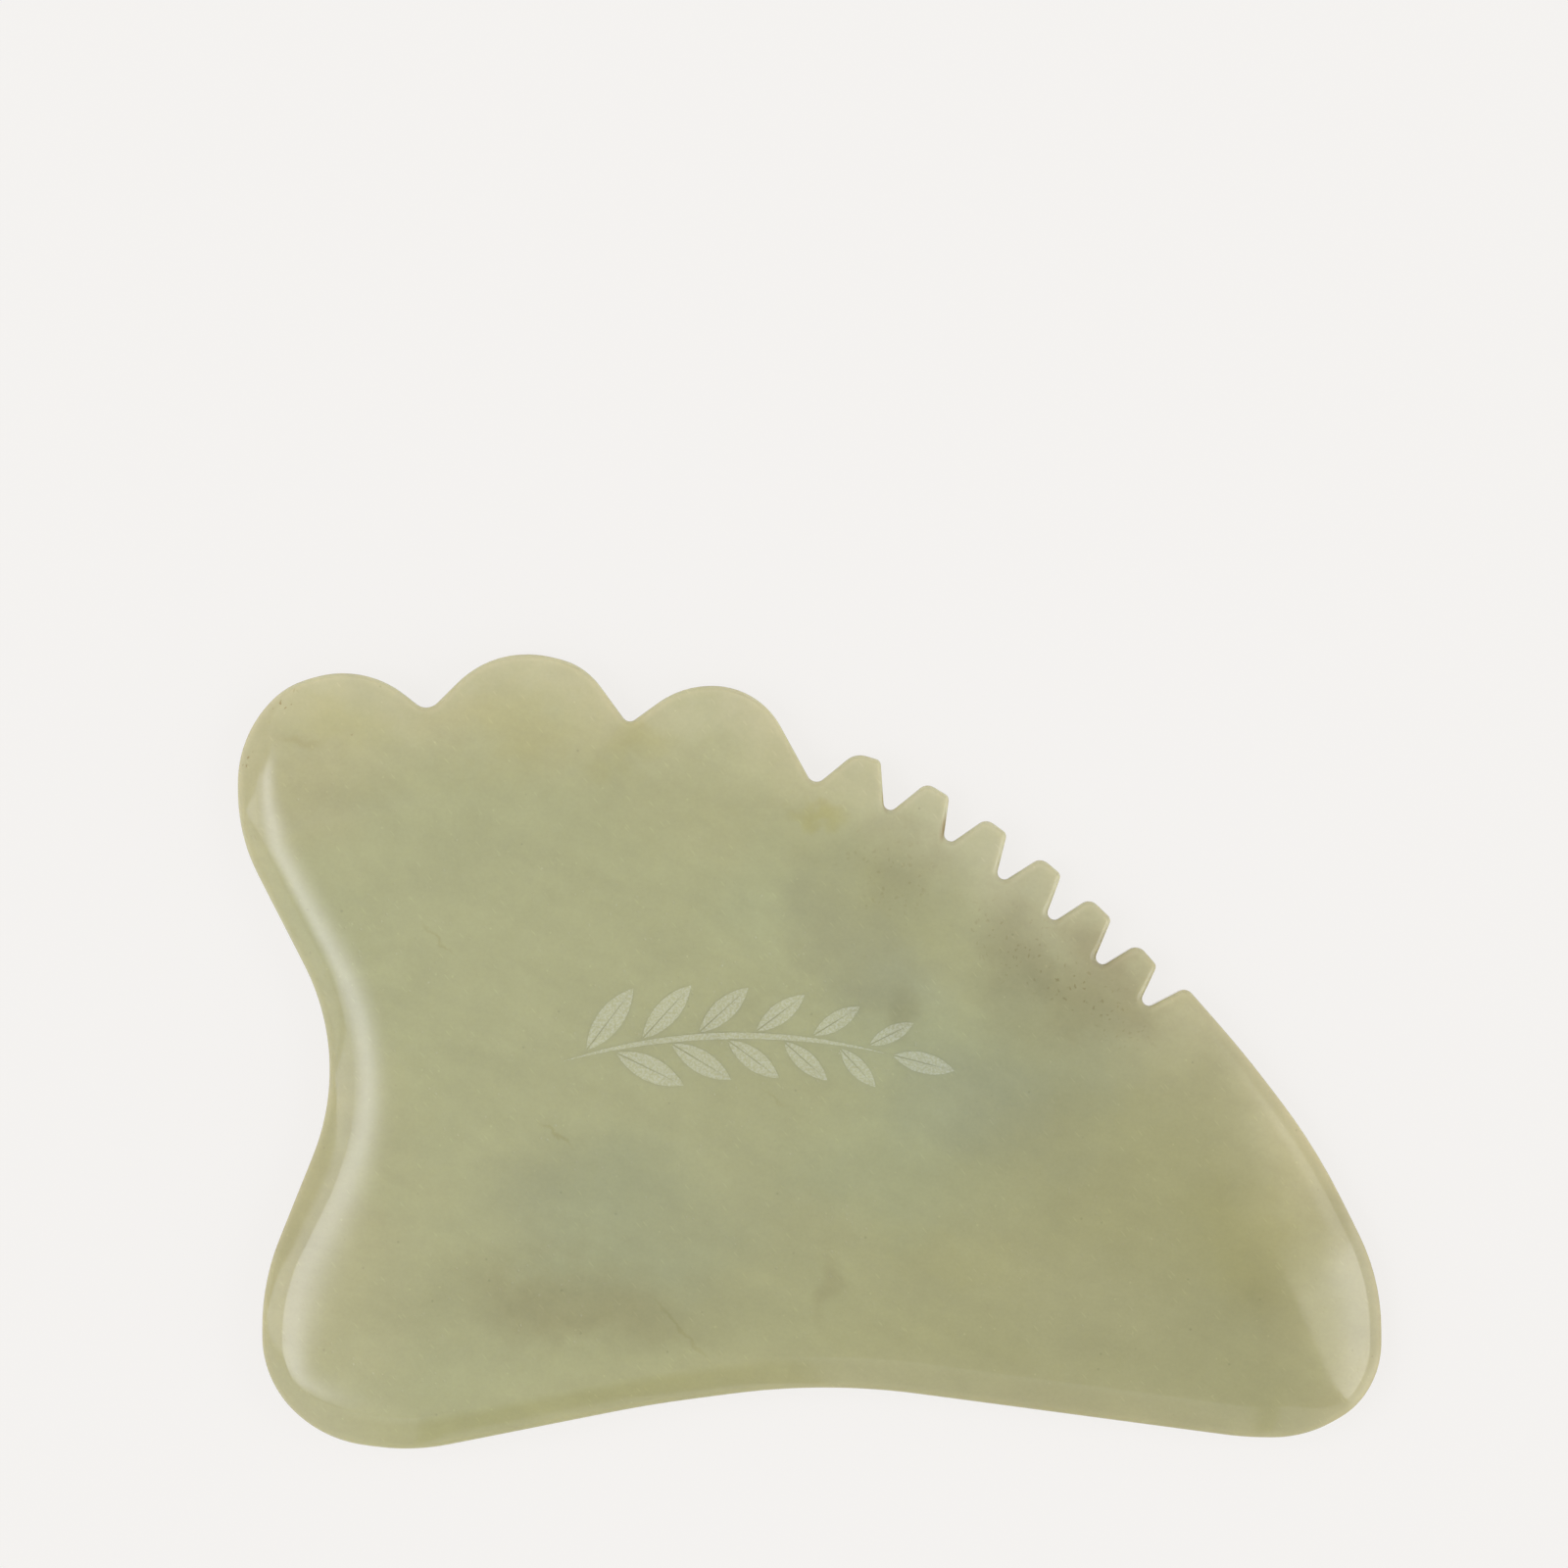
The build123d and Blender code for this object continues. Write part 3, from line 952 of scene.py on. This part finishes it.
RIGHT_BOX = 3.2
RIGHT_SHARP_LEAN = 1.17                   # its two inner sides lean, and meet in a corner
RIGHT_SHARP = (0.406, 0.414)
RIGHT_SOFT_LEAN = -2.4
RIGHT_SOFT = (0.15, 0.25)
RIGHT_INNER = (0.36, 0.62)
RIGHT_INNER_SHARE = 0.42
RIGHT_OUTER = (0.95, 1.1)
RIGHT_OUTER_SHARE = 0.3
STRIP = (0.54, 0.66)                      # a dimmer strip leads on from it, to the back
STRIP_SHARE = 0.35
STRIP_BACK = (0.3, 0.45)
STRIP_BACK_SHARE = 0.2

FRONT_GLOW = 0.6
FRONT_HEIGHT = (-0.9, -0.1)
FRONT_GAP = ((0, 0.05), (0.2, 0.35))      # the glow stops between these two


def left_box(graph, u, v):
    slant = graph.math("MULTIPLY_ADD", graph.math("MAXIMUM", v, LEFT_LEAN_FROM), LEFT_LEAN, u)
    return graph.product(
        graph.ramp(slant, *LEFT_INNER, LEFT_BOX, 0),
        graph.ramp(u, *LEFT_OUTER, LEFT_OUTER_SHARE, 1),
        graph.ramp(v, *LEFT_NEAR),
        graph.ramp(v, *LEFT_FAR, 1, 0),
    )


def right_box(graph, u, v):
    sharp = graph.math("MULTIPLY_ADD", v, RIGHT_SHARP_LEAN, u)
    soft = graph.math("MULTIPLY_ADD", v, RIGHT_SOFT_LEAN, u)
    strip = graph.ramp(v, *STRIP_BACK, 1, STRIP_BACK_SHARE)
    strip = graph.product(graph.ramp(u, *STRIP, 0, STRIP_SHARE), strip)
    return graph.product(
        graph.ramp(sharp, *RIGHT_SHARP),
        graph.math("MAXIMUM", graph.ramp(soft, *RIGHT_SOFT), strip),
        graph.ramp(u, *RIGHT_INNER, RIGHT_BOX * RIGHT_INNER_SHARE, RIGHT_BOX),
        graph.ramp(u, *RIGHT_OUTER, 1, RIGHT_OUTER_SHARE),
    )


def front_glow(graph, u, v):
    left_of_gap, right_of_gap = FRONT_GAP
    beside = graph.math("MAXIMUM", graph.ramp(u, *left_of_gap, 1, 0), graph.ramp(u, *right_of_gap))
    return graph.product(graph.ramp(v, *FRONT_HEIGHT, FRONT_GLOW, 0), beside)


def studio():
    world = bpy.data.worlds.new("studio")
    world.use_nodes = True
    graph = Graph(world.node_tree)
    axes = graph.node("SeparateXYZ", {0: graph.node("TexCoord", {}, "Generated")}).node.outputs
    climb = graph.math("MAXIMUM", axes[2], LEAST_CLIMB)
    u = graph.math("DIVIDE", axes[0], climb)
    v = graph.math("DIVIDE", axes[1], climb)
    cool = graph.math("ADD", left_box(graph, u, v), front_glow(graph, u, v))
    white = graph.math("ADD", right_box(graph, u, v), TENT)
    values = {0: graph.scaled(BOX_COLOUR, cool), 1: white}
    light = graph.node("VectorMath", values, operation="ADD")
    graph.set("Background", Color=light, Strength=1.0)
    return world


bpy.context.scene.world = studio()

VIEW_WIDTH = 133.33 * MM  # what the picture takes in at the plate's mid-height
VIEW_CENTRE = (-2.17 * MM, 22.7 * MM)
VIEW_DISTANCE = 0.9
camera_data = bpy.data.cameras.new("camera")
camera_data.sensor_width = 36
camera_data.lens = camera_data.sensor_width * VIEW_DISTANCE / VIEW_WIDTH
camera = bpy.data.objects.new("camera", camera_data)
camera.location = (*VIEW_CENTRE, VIEW_DISTANCE + MIDDLE_Z * MM)
bpy.context.scene.collection.objects.link(camera)
bpy.context.scene.camera = camera
bpy.context.scene.view_settings.view_transform = "Standard"
